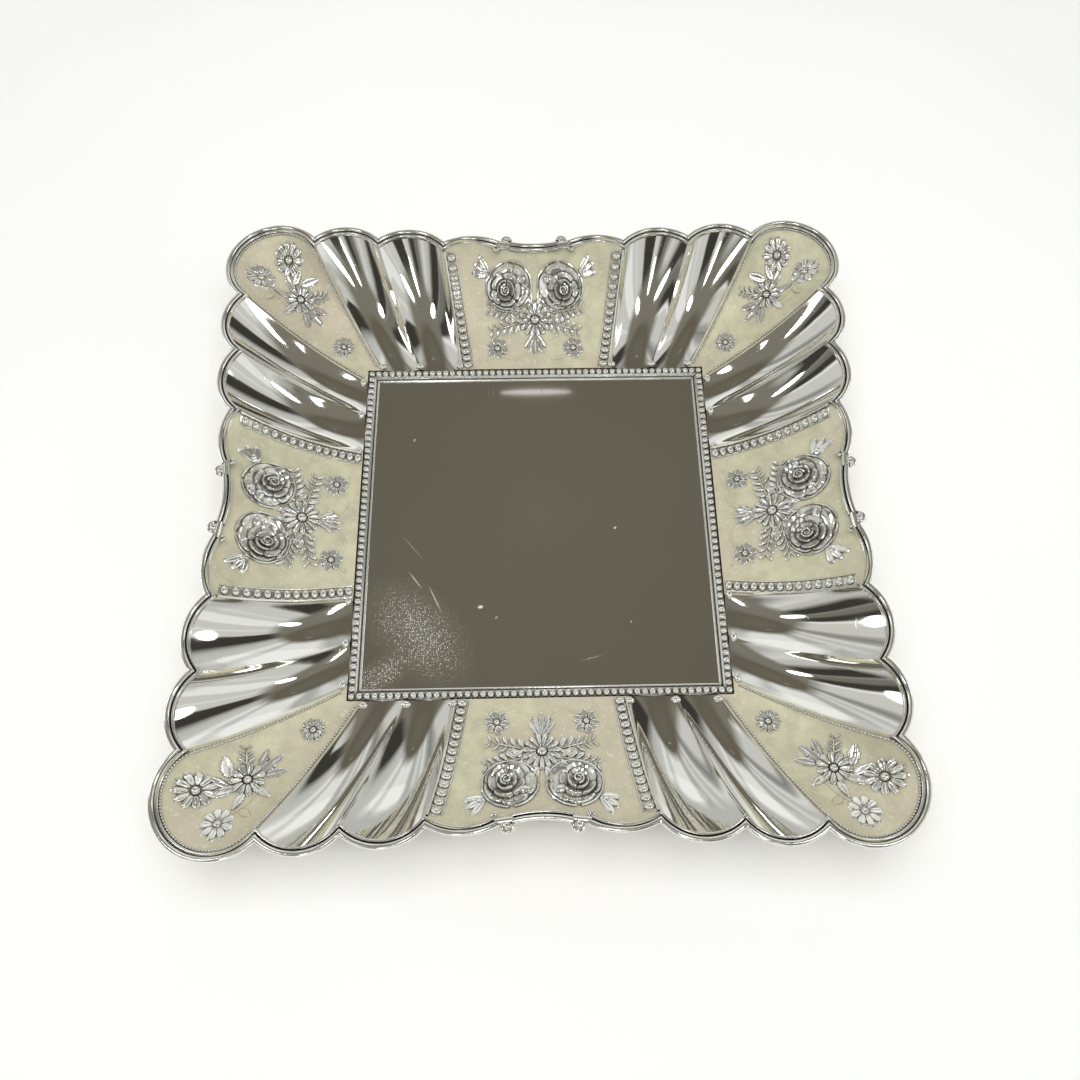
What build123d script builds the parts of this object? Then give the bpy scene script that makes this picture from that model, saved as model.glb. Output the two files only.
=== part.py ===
from build123d import *
import math
import os

# Square silver salver: a flat well, a bead moulding round it, and a dished border made of
# side panels, spoon-shaped corner lobes and pairs of flutes, finished with a scalloped rim.
# Millimetres, +Z up, origin under the middle of the well. Each repeated piece is modelled
# once, on the back (+Y) side or on the diagonal turned to +Y, and then turned round Z.

# Driving dimensions
WELL_HALF = 76.0         # half side of the open flat
PLATE = 1.5              # well plate thickness
BORDER_ROOT = 81.5       # half side where the border meets the well beading
ROOT_RISE = 2.7          # border above the well at its root
RIM_RISE = 30.0          # rim above the well
SHEET = 1.6              # border sheet, measured vertically
ROOT_SLOPE_SHARE = 0.23  # part of the rise that is straight; the rest curves upwards
CURVE_POWER = 2.275

# Plan of one side, right half: seams at the root, cusps and scallop crowns at the rim
SEAM_ROOTS = [37.0, 56.5, 74.5]
CUSPS = [(43.5, 132.0), (74.5, 134.0), (105.0, 135.3)]
CROWNS = [(59.0, 139.8), (90.4, 141.7)]
HOLLOW_END = (11.5, 131.9)   # the knob spans from here to the scallop's end
SCALLOP_END = (17.3, 132.6)
PANEL_CROWN = (29.6, 135.7)
PANEL_HOLLOW = 130.6     # middle of the hollow between the two knobs
PANEL_LEVEL = 131.5      # where the panel's middle would reach the height of the rim
PANEL_WAVE = 2.05        # that line waves in plan by this much
PANEL_WAVE_LENGTH = 50.0
LOBE_TIP = 136.8 * math.sqrt(2)

# Flute depths below the straight line between two ridges
FLUTE_ROOT_DIP = 1.5
FLUTE_MIDDLE_DIP = 3.2

# Trim
RIM_LAYERS = [(1.5, -2.1, -1.2), (2.4, -1.2, 0.6), (1.6, 0.6, 1.5)]  # width, from and to height
KNOB = (13.3, 134.9)     # centre of a knob in plan
KNOB_REACH = 0.6         # how much wider a knob is than the rim beside it
BEAD_RADIUS = 1.5
BEAD_COUNT = 49
BEAD_LINE = 79.55        # centre line of the well beads
BEADING_HEIGHT = 2.0
STEP_WIDTH = 1.4         # plain step inside the well beads
STEP_HEIGHT = 0.9
STRIP_LINE = (32.7, 40.3)   # centre line of a panel bead strip at the root and at the rim
STRIP_WIDTH = 4.0
STRIP_TAPE = 0.6
STRIP_BEADS = 14
STRIP_BEAD_RADIUS = 1.65
STRIP_GAP = 0.4          # between a strip and the well beading
STRIP_END = 130.6
WIRE_RADIUS = 0.55
WIRE_INSET = 1.5
WIRE_SEAM = (0.12, 0.9)  # part of the seam that the wire runs beside
WIRE_TIP_START = 0.1     # angle round the tip, in radians, where it leaves the seam
PEARL_RADIUS = 1.5
PEARL_GAP = 0.3          # between a pearl and the well beading
PEARL_LIFT = 0.05
RELIEF = 1.0             # height of the applied ornament above its panel
PETAL_SHARE = 0.42       # radius of a petal and of the heart, as shares of the flower's
HEART_SHARE = 0.62

# Ornament of a side panel, right half. Flowers: x, y, radius and number of petals.
# Leaves: x and y of the stem end, length, width and turn from +Y in degrees.
ROSE = (12.6, 118.4, 9.8, 7)
PANEL_DAISY = (0.0, 105.0, 8.0, 12)
PANEL_FLOWER = (18.5, 92.0, 5.5, 5)
PANEL_LEAVES = [(5, 107.0, 17.5, 5, -84), (5, 105.5, 17.5, 5, -102), (20, 122.0, 11.5, 5, -58)]
FAN_STEM = (0.0, 100.0)
FAN_LEAF = (14, 4.0)
FAN_TURNS = [145, 162, 180, 198, 215]

# Ornament of a corner lobe, across and along its diagonal, in the same way
BIG_FLOWER = (-9.0, 177.5, 7.0, 9)
LOBE_DAISY = (-0.8, 162.5, 7.0, 11)
FAINT_FLOWER = (6.8, 179.0, 5.6, 7)
SMALL_FLOWER = (0.0, 132.5, 5.4, 6)
LOBE_LEAVES = [
    (-4, 166, 12, 5, 115),
    (-2, 160, 15, 6, 180),
    (0, 160, 13, 5, -150),
    (3, 165, 14, 5, -20),
    (-4, 167, 12, 5, 25),
]

# Worked out from the driving dimensions
RIM_Z = PLATE + RIM_RISE
ROOT_Z = PLATE + ROOT_RISE
GRID = 16
MARGIN = 0.05
PAST_RIM = 1.6

SIDES = ["back", "left", "front", "right"]
CORNERS = ["back_right", "back_left", "front_left", "front_right"]


def spread(low, high, count):
    return [low + (high - low) * i / (count - 1) for i in range(count)]


def between(a, b, share):
    return a + (b - a) * share


def dish(t):
    """Height of the border at a share t of the way from its root to the rim."""
    climb = ROOT_SLOPE_SHARE * t + (1 - ROOT_SLOPE_SHARE) * max(t, 0.0) ** CURVE_POWER
    return ROOT_Z + (RIM_Z - ROOT_Z) * climb


# Surfaces of the three kinds of pressing

def panel_rim(x):
    swing = math.cos(2 * math.pi * x / PANEL_WAVE_LENGTH)
    return PANEL_LEVEL + PANEL_WAVE * (1 - swing)


def panel_height(x, y):
    return dish((y - BORDER_ROOT) / (panel_rim(x) - BORDER_ROOT))


def panel_point(s, t):
    half = CUSPS[0][0] + STRIP_WIDTH
    x = between(-half, half, s)
    y = between(BORDER_ROOT, panel_rim(x), t)
    return (x, y, dish(t))


def flute_point(index):
    """Surface of one flute, between ridge number index and the next one."""
    left_root, right_root = SEAM_ROOTS[index], SEAM_ROOTS[index + 1]
    left_cusp, right_cusp = CUSPS[index], CUSPS[index + 1]
    crown = CROWNS[index][1] - (left_cusp[1] + right_cusp[1]) / 2

    def point(s, t):
        bulge = 4 * s * (1 - s)
        x = between(between(left_root, left_cusp[0], t), between(right_root, right_cusp[0], t), s)
        chord = between(between(BORDER_ROOT, left_cusp[1], t), between(BORDER_ROOT, right_cusp[1], t), s)
        dip = FLUTE_ROOT_DIP * (1 - t) + FLUTE_MIDDLE_DIP * 4 * t * (1 - t)
        return (x, chord + crown * t * bulge, dish(t) - dip * bulge)

    return point


def on_diagonal(x, y):
    """Across and along distances of a plan point, measured from the corner's diagonal."""
    return (abs(y - x) / math.sqrt(2), (x + y) / math.sqrt(2))


LOBE_ROOT = on_diagonal(SEAM_ROOTS[2], BORDER_ROOT)
LOBE_CUSP = on_diagonal(*CUSPS[2])
LOBE_START = BORDER_ROOT * math.sqrt(2)
LOBE_SAGITTA = LOBE_TIP - LOBE_CUSP[1]
LOBE_RADIUS = (LOBE_CUSP[0] ** 2 + LOBE_SAGITTA ** 2) / (2 * LOBE_SAGITTA)


def lobe_spine(along):
    return dish((along - LOBE_START) / (LOBE_TIP - LOBE_START))


def lobe_cupping(along):
    """How fast the spoon curves up across its diagonal: height is this times across squared."""
    if along <= LOBE_CUSP[1]:
        share = (along - LOBE_ROOT[1]) / (LOBE_CUSP[1] - LOBE_ROOT[1])
        half_width = between(LOBE_ROOT[0], LOBE_CUSP[0], share)
        return (dish(share) - lobe_spine(along)) / half_width ** 2
    at_cusp = (RIM_Z - lobe_spine(LOBE_CUSP[1])) / LOBE_CUSP[0] ** 2
    end_slope = ROOT_SLOPE_SHARE + (1 - ROOT_SLOPE_SHARE) * CURVE_POWER
    end_slope = end_slope * (RIM_Z - ROOT_Z) / (LOBE_TIP - LOBE_START)
    at_tip = end_slope / (2 * LOBE_RADIUS)
    return between(at_cusp, at_tip, (along - LOBE_CUSP[1]) / LOBE_SAGITTA)


def lobe_height(across, along):
    return lobe_spine(along) + lobe_cupping(along) * across ** 2


def lobe_point(s, t):
    across = between(-LOBE_RADIUS, LOBE_RADIUS, s)
    along = between(LOBE_ROOT[1], LOBE_TIP, t)
    return (across, along, lobe_height(across, along))


# Plan outlines

def mirrored(point):
    return (-point[0], point[1])


def both_hands(shapes):
    return shapes + [mirror(shape, Plane.YZ) for shape in shapes]


def panel_scallop():
    """Right half of a panel's rim line, from its cusp to the hollow between the knobs."""
    return [ThreePointArc(CUSPS[0], PANEL_CROWN, SCALLOP_END), Line(SCALLOP_END, HOLLOW_END)]


def panel_hollow():
    return ThreePointArc(HOLLOW_END, (0, PANEL_HOLLOW), mirrored(HOLLOW_END))


def panel_outline():
    root = (SEAM_ROOTS[0], BORDER_ROOT)
    sides = both_hands([Line(root, CUSPS[0])] + panel_scallop())
    return make_face(sides + [panel_hollow(), Line(mirrored(root), root)])


def flute_outline(index):
    left_root = (SEAM_ROOTS[index], BORDER_ROOT)
    right_root = (SEAM_ROOTS[index + 1], BORDER_ROOT)
    edges = [
        Line(left_root, right_root),
        Line(right_root, CUSPS[index + 1]),
        ThreePointArc(CUSPS[index + 1], CROWNS[index], CUSPS[index]),
        Line(CUSPS[index], left_root),
    ]
    return make_face(edges)


def lobe_outline():
    edges = [
        Line(mirrored(LOBE_ROOT), (0, LOBE_START)),
        Line((0, LOBE_START), LOBE_ROOT),
        Line(LOBE_ROOT, LOBE_CUSP),
        ThreePointArc(LOBE_CUSP, (0, LOBE_TIP), mirrored(LOBE_CUSP)),
        Line(mirrored(LOBE_CUSP), mirrored(LOBE_ROOT)),
    ]
    return make_face(edges)


# Building blocks

def skin(point_at):
    shares = spread(-MARGIN, 1 + MARGIN, GRID)
    rows = [[Vector(*point_at(s, t)) for t in shares] for s in shares]
    return Face.make_surface_from_array_of_points(rows, tol=0.005)


def pressing(surface, outline, above, thickness):
    """Sheet that follows a surface, cut to a plan outline; above lifts its top face."""
    sheet = Solid.extrude(Pos(0, 0, above) * surface, Vector(0, 0, -thickness))
    cutter = extrude(outline, amount=2 * RIM_Z)
    return sheet & cutter


def dome(radius):
    return Sphere(radius, arc_size1=0, align=(Align.CENTER, Align.CENTER, Align.MIN))


def seated(height_at, x, y, lift, shape):
    """Shape standing square on a height field, with its base lifted off the surface."""
    step = 0.05
    slope_x = (height_at(x + step, y) - height_at(x - step, y)) / (2 * step)
    slope_y = (height_at(x, y + step) - height_at(x, y - step)) / (2 * step)
    normal = Vector(-slope_x, -slope_y, 1).normalized()
    base = Vector(x, y, height_at(x, y)) + normal * lift
    return Plane(origin=base, z_dir=normal) * shape


# Pieces of one side and one corner

def make_well_plate():
    return Pos(0, 0, PLATE / 2) * Box(2 * BORDER_ROOT, 2 * BORDER_ROOT, PLATE)


def make_well_beading():
    """One mitred length of the moulding round the well, with its beads."""
    section = Polyline(
        (WELL_HALF, PLATE),
        (BORDER_ROOT, PLATE),
        (BORDER_ROOT, PLATE + BEADING_HEIGHT),
        (WELL_HALF + STEP_WIDTH, PLATE + BEADING_HEIGHT),
        (WELL_HALF + STEP_WIDTH, PLATE + STEP_HEIGHT),
        (WELL_HALF, PLATE + STEP_HEIGHT),
        close=True,
    )
    bar = extrude(Plane.YZ * make_face(section), amount=BORDER_ROOT, both=True)
    corners = [(WELL_HALF, WELL_HALF), (BORDER_ROOT, BORDER_ROOT)]
    plan = Polyline(*corners, *[mirrored(corner) for corner in reversed(corners)], close=True)
    bar = bar & extrude(make_face(plan), amount=RIM_Z)
    pitch = 2 * BEAD_LINE / BEAD_COUNT
    top = PLATE + BEADING_HEIGHT
    beads = [Pos(-BEAD_LINE + pitch * i, BEAD_LINE, top) * dome(BEAD_RADIUS) for i in range(BEAD_COUNT)]
    return bar + beads


def make_ridge_pearls():
    """Round tips that finish the ridges beside the well beading, all round the salver."""
    y = BORDER_ROOT + PEARL_RADIUS + PEARL_GAP
    border = CUSPS[0][1] - BORDER_ROOT
    slope = Rot(math.degrees(math.atan2(ROOT_SLOPE_SHARE * (RIM_Z - ROOT_Z), border)), 0, 0)
    height = dish((y - BORDER_ROOT) / border) + PEARL_LIFT
    right = [Pos(x, y, height) * slope * dome(PEARL_RADIUS) for x in SEAM_ROOTS]
    one_side = both_hands(right)
    turns = [Rot(0, 0, 90 * index) for index in range(len(SIDES))]
    return Compound([turn * pearl for turn in turns for pearl in one_side])


def make_panel_beading(surface):
    """Right-hand bead strip of a side panel, standing on the panel."""
    half = STRIP_WIDTH / 2
    start = BORDER_ROOT + STRIP_GAP

    def centre(y):
        share = (y - BORDER_ROOT) / (CUSPS[0][1] - BORDER_ROOT)
        return between(*STRIP_LINE, share)

    plan = Polyline(
        (centre(start) - half, start),
        (centre(start) + half, start),
        (centre(STRIP_END) + half, STRIP_END),
        (centre(STRIP_END) - half, STRIP_END),
        close=True,
    )
    tape = pressing(surface, make_face(plan), STRIP_TAPE, STRIP_TAPE)
    rows = spread(start + STRIP_BEAD_RADIUS, STRIP_END - STRIP_BEAD_RADIUS, STRIP_BEADS)
    beads = [seated(panel_height, centre(y), y, STRIP_TAPE / 2, dome(STRIP_BEAD_RADIUS)) for y in rows]
    return tape + beads


def make_lobe_wire():
    """Milled wire that edges a lobe: up one seam, round the tip and back down."""
    seam = []
    for share in spread(*WIRE_SEAM, 8):
        across = between(LOBE_ROOT[0], LOBE_CUSP[0], share) - WIRE_INSET
        seam.append((across, between(LOBE_ROOT[1], LOBE_CUSP[1], share)))
    centre = LOBE_TIP - LOBE_RADIUS
    turn = LOBE_RADIUS - WIRE_INSET
    angles = spread(WIRE_TIP_START, math.pi / 2, 7)
    tip = [(turn * math.cos(angle), centre + turn * math.sin(angle)) for angle in angles]
    right = seam + tip
    plan = right + [mirrored(point) for point in reversed(right[:-1])]
    lift = WIRE_RADIUS * 1.4
    path = Spline(*[(x, y, lobe_height(x, y) + lift) for x, y in plan])
    return sweep(Plane(origin=path @ 0, z_dir=path % 0) * Circle(WIRE_RADIUS), path=path)


def rim_line():
    """The border's whole scalloped outline in plan, filled."""
    flutes = [ThreePointArc(CUSPS[index], CROWNS[index], CUSPS[index + 1]) for index in range(2)]
    corner = Rot(0, 0, -45) * ThreePointArc(mirrored(LOBE_CUSP), (0, LOBE_TIP), LOBE_CUSP)
    side = both_hands(panel_scallop() + flutes) + [panel_hollow(), corner]
    turns = [Rot(0, 0, 90 * index) for index in range(len(SIDES))]
    return make_face([turn * edge for turn in turns for edge in side])


def seam_wedge(root, cusp):
    """Plan area between the two seam lines that bound a side or a corner, run on past the rim."""
    far = (between(root[0], cusp[0], PAST_RIM), between(root[1], cusp[1], PAST_RIM))
    return make_face(Polyline(mirrored(root), root, far, mirrored(far), close=True))


def make_rim(wedge, knobs):
    """Stepped rim moulding outside the border's outline, over one wedge of the plan."""
    line = rim_line()
    layers = []
    for width, low, high in RIM_LAYERS:
        plan = offset(line, width, kind=Kind.INTERSECTION)
        for x in knobs:
            plan = plan + Pos(x, KNOB[1]) * Circle(width + KNOB_REACH)
        plan = (plan - line) & wedge
        layers.append(Pos(0, 0, RIM_Z + low) * extrude(plan, amount=high - low))
    return layers[0] + layers[1:]


# Applied ornament: low flower and leaf shapes that follow the panel under them

def blossom(x, y, radius, petals):
    """Flower in plan: a round heart with a ring of petals."""
    petal = radius * PETAL_SHARE
    stalk = Pos(0, radius - petal)
    ring = [Pos(x, y) * Rot(0, 0, 360 * i / petals) * stalk * Circle(petal) for i in range(petals)]
    return [Pos(x, y) * Circle(radius * HEART_SHARE)] + ring


def leaf(x, y, length, width, turn):
    """Pointed leaf in plan, with its stem end at x, y and its tip turned from +Y."""
    sides = [
        ThreePointArc((0, 0), (width / 2, length / 2), (0, length)),
        ThreePointArc((0, length), (-width / 2, length / 2), (0, 0)),
    ]
    return Pos(x, y) * Rot(0, 0, turn) * make_face(sides)


def rose_spray_plan():
    leaves = [leaf(*values) for values in PANEL_LEAVES]
    right = blossom(*ROSE) + blossom(*PANEL_FLOWER) + leaves
    fan = [leaf(*FAN_STEM, *FAN_LEAF, turn) for turn in FAN_TURNS]
    return both_hands(right) + blossom(*PANEL_DAISY) + fan


def flower_spray_plan():
    flowers = [BIG_FLOWER, LOBE_DAISY, FAINT_FLOWER, SMALL_FLOWER]
    leaves = [leaf(*values) for values in LOBE_LEAVES]
    return [shape for flower in flowers for shape in blossom(*flower)] + leaves


def make_spray(surface, plan):
    sheet = Solid.extrude(Pos(0, 0, RELIEF) * surface, Vector(0, 0, -RELIEF))
    shape = Sketch() + plan
    return sheet & extrude(shape, amount=2 * RIM_Z)


# Assembly

def write(name, shape):
    export_step(shape, f"parts/{name}.step")


def write_round(prefix, names, shape, first_turn):
    for index, name in enumerate(names):
        write(f"{prefix}_{name}", Rot(0, 0, first_turn + 90 * index) * shape)


os.makedirs("parts", exist_ok=True)

panel_skin = skin(panel_point)
flute_skins = [skin(flute_point(index)) for index in range(2)]
lobe_skin = skin(lobe_point)

write("well_plate", make_well_plate())
write("ridge_pearls", make_ridge_pearls())
write_round("well_beading", SIDES, make_well_beading(), 0)
write_round("side_panel", SIDES, pressing(panel_skin, panel_outline(), 0, SHEET), 0)
write_round("corner_lobe", CORNERS, pressing(lobe_skin, lobe_outline(), 0, SHEET), -45)
write_round("lobe_wire", CORNERS, make_lobe_wire(), -45)
side_wedge = seam_wedge((SEAM_ROOTS[2], BORDER_ROOT), CUSPS[2])
write_round("rim_side", SIDES, make_rim(side_wedge, (-KNOB[0], KNOB[0])), 0)
corner_wedge = Rot(0, 0, -45) * seam_wedge(LOBE_ROOT, LOBE_CUSP)
write_round("rim_corner", CORNERS, make_rim(corner_wedge, ()), 0)
write_round("rose_spray", SIDES, make_spray(panel_skin, rose_spray_plan()), 0)

# The flutes and the panel beading come in right and left hands
handed = {
    "flute_inner": pressing(flute_skins[0], flute_outline(0), 0, SHEET),
    "flute_outer": pressing(flute_skins[1], flute_outline(1), 0, SHEET),
    "panel_beading": make_panel_beading(panel_skin),
}
for prefix, shape in handed.items():
    write_round(prefix, [f"{side}_r" for side in SIDES], shape, 0)
    write_round(prefix, [f"{side}_l" for side in SIDES], mirror(shape, Plane.YZ), 0)

# The corner sprays on the left of the salver mirror those on the right
flower_spray = make_spray(lobe_skin, flower_spray_plan())
for name, turn in (("back", -45), ("front", -135)):
    spray = Rot(0, 0, turn) * flower_spray
    write(f"flower_spray_{name}_right", spray)
    write(f"flower_spray_{name}_left", mirror(spray, Plane.YZ))
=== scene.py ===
import bpy
import math
import numpy as np
from mathutils import Euler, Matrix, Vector


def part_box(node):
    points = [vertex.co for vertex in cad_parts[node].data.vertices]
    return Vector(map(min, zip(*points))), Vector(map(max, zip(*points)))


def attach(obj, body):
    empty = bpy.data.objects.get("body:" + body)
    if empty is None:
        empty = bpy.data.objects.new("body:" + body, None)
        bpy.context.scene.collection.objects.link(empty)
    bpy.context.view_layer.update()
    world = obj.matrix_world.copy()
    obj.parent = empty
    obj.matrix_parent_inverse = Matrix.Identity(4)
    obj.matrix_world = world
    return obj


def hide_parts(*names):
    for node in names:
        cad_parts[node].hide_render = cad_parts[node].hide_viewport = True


# Looks of the square silver salver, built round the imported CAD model.
# Lengths are millimetres in the CAD frame; MM turns them into Blender's metres.

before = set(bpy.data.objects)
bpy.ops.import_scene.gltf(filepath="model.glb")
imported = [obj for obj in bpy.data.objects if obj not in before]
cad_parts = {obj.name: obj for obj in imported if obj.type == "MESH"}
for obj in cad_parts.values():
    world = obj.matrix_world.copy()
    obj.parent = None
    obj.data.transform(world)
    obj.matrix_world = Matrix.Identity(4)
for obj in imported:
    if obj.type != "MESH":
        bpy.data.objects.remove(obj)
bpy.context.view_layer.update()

MM = 0.001

# Main sizes: three of the CAD model's own, and the rest worked out from the frame's boxes
SHEET = 1.6
RIM_OVER = 1.5           # top of the rim moulding over the edge of the sheets
ROOT_LIFT = 2.7          # root of the border over the well
plate_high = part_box("well_plate")[1]
BORDER_ROOT = plate_high.x / MM
WELL_Z = plate_high.z / MM
RIM_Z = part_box("rim_corner_back_right")[1].z / MM - RIM_OVER
ROOT_Z = WELL_Z + ROOT_LIFT

# Shape of the border, as in the CAD model: the right half of the back side, centred on x = 0
ROOT_SLOPE_SHARE = 0.23  # share of the climb that is a straight slope
CURVE_POWER = 2.275      # how sharply the rest of the climb turns up at the rim
SEAM_ROOTS = [37.0, 56.5, 74.5]
CUSPS = [(43.5, 132.0), (74.5, 134.0), (105.0, 135.3)]
CROWNS = [(59.0, 139.8), (90.4, 141.7)]
HOLLOW_END = (11.5, 131.9)
SCALLOP_END = (17.3, 132.6)
PANEL_CROWN = (29.6, 135.7)
PANEL_HOLLOW = 130.6     # how far out the rim is in the middle of the side
PANEL_LEVEL = 131.5      # smooth rim line that sets the panel's height, and its wave
PANEL_WAVE = 2.05
PANEL_WAVE_LENGTH = 50.0
LOBE_TIP = 136.8 * math.sqrt(2)
FLUTE_ROOT_DIP = 1.5
FLUTE_MIDDLE_DIP = 3.2
RIDGE_ROUND = 0.02       # how softly a flute rolls over its ridges, as a share of its width
WELL_HALF = 76.0
BEAD_LINE = 79.55
BEAD_COUNT = 49
BEAD_RADIUS = 1.5
BEADING_HEIGHT = 2.0
STRIP_LINE = (32.7, 40.3)
STRIP_BEADS = 14
STRIP_END = 130.6
WIRE_INSET = 1.5
KNOB = (13.3, 134.9)
SCROLL = (18.2, 131.2)   # inner scroll beside each knob

SIDES = ["back", "left", "front", "right"]
CORNERS = ["back_right", "back_left", "front_left", "front_right"]


# Surfaces

def between(a, b, share):
    return a + (b - a) * share


def dish(t):
    """Height of the border at a share of the way from its root to the rim."""
    climb = ROOT_SLOPE_SHARE * t + (1 - ROOT_SLOPE_SHARE) * np.maximum(t, 0.0) ** CURVE_POWER
    return ROOT_Z + (RIM_Z - ROOT_Z) * climb


def panel_height(x, y):
    """Height of the top of a side panel."""
    rim = PANEL_LEVEL + PANEL_WAVE * (1 - np.cos(2 * math.pi * x / PANEL_WAVE_LENGTH))
    return dish((y - BORDER_ROOT) / (rim - BORDER_ROOT))


def on_diagonal(x, y):
    """A plan point seen from the corner: across the diagonal and along it."""
    return (abs(y - x) / math.sqrt(2), (x + y) / math.sqrt(2))


LOBE_ROOT = on_diagonal(SEAM_ROOTS[2], BORDER_ROOT)
LOBE_CUSP = on_diagonal(*CUSPS[2])
LOBE_START = BORDER_ROOT * math.sqrt(2)
LOBE_SAGITTA = LOBE_TIP - LOBE_CUSP[1]
LOBE_RADIUS = (LOBE_CUSP[0] ** 2 + LOBE_SAGITTA ** 2) / (2 * LOBE_SAGITTA)
LOBE_CENTRE = LOBE_TIP - LOBE_RADIUS


def lobe_height(across, along):
    """Height of the top of a corner lobe: a climbing spine with a trough across it."""
    spine = dish((along - LOBE_START) / (LOBE_TIP - LOBE_START))
    share = (along - LOBE_ROOT[1]) / (LOBE_CUSP[1] - LOBE_ROOT[1])
    half_width = between(LOBE_ROOT[0], LOBE_CUSP[0], share)
    near = (dish(share) - spine) / half_width ** 2
    cusp_spine = dish((LOBE_CUSP[1] - LOBE_START) / (LOBE_TIP - LOBE_START))
    at_cusp = (RIM_Z - cusp_spine) / LOBE_CUSP[0] ** 2
    end_slope = ROOT_SLOPE_SHARE + (1 - ROOT_SLOPE_SHARE) * CURVE_POWER
    end_slope = end_slope * (RIM_Z - ROOT_Z) / (LOBE_TIP - LOBE_START)
    at_tip = end_slope / (2 * LOBE_RADIUS)
    far = between(at_cusp, at_tip, (along - LOBE_CUSP[1]) / LOBE_SAGITTA)
    return spine + np.where(along <= LOBE_CUSP[1], near, far) * across ** 2


# Mesh chunks: a pair of vertex rows and face tuples

def merge(chunks):
    rows, faces, offset = [], [], 0
    for points, polygons in chunks:
        rows.append(points)
        faces += [tuple(corner + offset for corner in polygon) for polygon in polygons]
        offset += len(points)
    return np.concatenate(rows), faces


def turned(chunk, degrees, flip=False):
    points, faces = chunk
    points = points * np.array([-1.0 if flip else 1.0, 1.0, 1.0])
    cosine, sine = math.cos(math.radians(degrees)), math.sin(math.radians(degrees))
    spin = np.array([[cosine, -sine, 0], [sine, cosine, 0], [0, 0, 1]])
    if flip:
        faces = [tuple(reversed(polygon)) for polygon in faces]
    return points @ spin.T, faces


def grid_faces(rows, columns, start=0, wrap_rows=False, wrap_columns=False):
    faces = []
    for row in range(rows if wrap_rows else rows - 1):
        for column in range(columns if wrap_columns else columns - 1):
            after_row, after_column = (row + 1) % rows, (column + 1) % columns
            corners = ((row, column), (row, after_column), (after_row, after_column), (after_row, column))
            faces.append(tuple(start + r * columns + c for r, c in corners))
    return faces


def edge_loop(rows, columns):
    """Indices round the border of a grid, in the order that its faces turn."""
    low = list(range(columns))
    right = [row * columns + columns - 1 for row in range(1, rows)]
    high = [(rows - 1) * columns + column for column in range(columns - 2, -1, -1)]
    left = [row * columns for row in range(rows - 2, 0, -1)]
    return low + right + high + left


def shell(top, thickness):
    """Closed sheet from a (rows, columns, 3) grid of top points, thickened straight down."""
    rows, columns, _ = top.shape
    count = rows * columns
    above = top.reshape(-1, 3)
    below = above - np.array([0, 0, thickness])
    upper = grid_faces(rows, columns)
    lower = [tuple(count + corner for corner in reversed(polygon)) for polygon in upper]
    loop = edge_loop(rows, columns)
    walls = [(a, a + count, b + count, b) for a, b in zip(loop, loop[1:] + loop[:1])]
    return np.concatenate([above, below]), upper + lower + walls


def slope_frame(height_at, x, y):
    """Surface point and unit normal of a height field, for arrays of x and y."""
    step = 0.05
    slope_x = (height_at(x + step, y) - height_at(x - step, y)) / (2 * step)
    slope_y = (height_at(x, y + step) - height_at(x, y - step)) / (2 * step)
    normal = np.stack([-slope_x, -slope_y, np.ones_like(slope_x)], -1)
    normal = normal / np.linalg.norm(normal, axis=-1, keepdims=True)
    return np.stack([x, y, height_at(x, y)], -1), normal


def ball(centre, axes, rings=8, segments=12, dome=False):
    """Ellipsoid, or its upper half, from a centre and three half-axis vectors."""
    first, second, third = [np.array(axis, float) for axis in axes]
    tilt = np.linspace(math.pi / 2, 0 if dome else -math.pi / 2, rings + 1)[1:None if dome else -1]
    around = np.linspace(0, 2 * math.pi, segments, endpoint=False)
    ring = np.cos(around)[:, None] * first + np.sin(around)[:, None] * second
    body = np.cos(tilt)[:, None, None] * ring + np.sin(tilt)[:, None, None] * third
    points = [np.array(third)[None], body.reshape(-1, 3)]
    faces = [(0, 1 + i, 1 + (i + 1) % segments) for i in range(segments)]
    faces += [tuple(reversed(f)) for f in grid_faces(len(tilt), segments, 1, wrap_columns=True)]
    last = 1 + (len(tilt) - 1) * segments
    if dome:
        faces.append(tuple(last + i for i in reversed(range(segments))))
    else:
        points.append(-np.array(third)[None])
        faces += [(last + segments, last + (i + 1) % segments, last + i) for i in range(segments)]
    return np.concatenate(points) + np.array(centre, float), faces


def seated_bead(height_at, x, y, heading, along, across, tall, lift=0.0, **detail):
    """Bead standing square on a height field, with its long way along a plan heading."""
    base, normal = slope_frame(height_at, np.array(float(x)), np.array(float(y)))
    forward = np.array([math.cos(heading), math.sin(heading), 0.0])
    forward = forward - normal * (forward @ normal)
    forward /= np.linalg.norm(forward)
    side = np.cross(normal, forward)
    return ball(base + normal * lift, (forward * along, side * across, normal * tall), **detail)


def tube(path, radius, segments=8):
    """Round wire with closed ends along a polyline; the radius may change along it."""
    path = np.array(path, float)
    radius = np.broadcast_to(radius, len(path))[:, None, None]
    heading = np.gradient(path, axis=0)
    heading /= np.linalg.norm(heading, axis=1, keepdims=True)
    side = np.cross(heading, (0.0, 0.0, 1.0))
    side /= np.linalg.norm(side, axis=1, keepdims=True)
    rise = np.cross(heading, side)
    around = np.linspace(0, 2 * math.pi, segments, endpoint=False)
    ring = np.cos(around)[None, :, None] * side[:, None] + np.sin(around)[None, :, None] * rise[:, None]
    points = (path[:, None] + radius * ring).reshape(-1, 3)
    faces = grid_faces(len(path), segments, wrap_columns=True)
    faces.append(tuple(reversed(range(segments))))
    faces.append(tuple(len(points) - segments + i for i in range(segments)))
    return points, faces


def laid_wire(height_at, plan, radius, lift, segments=8):
    """Wire laid on a height field along plan points."""
    plan = np.array(plan, float)
    base, normal = slope_frame(height_at, plan[:, 0], plan[:, 1])
    return tube(base + lift * normal, radius, segments)


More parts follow.
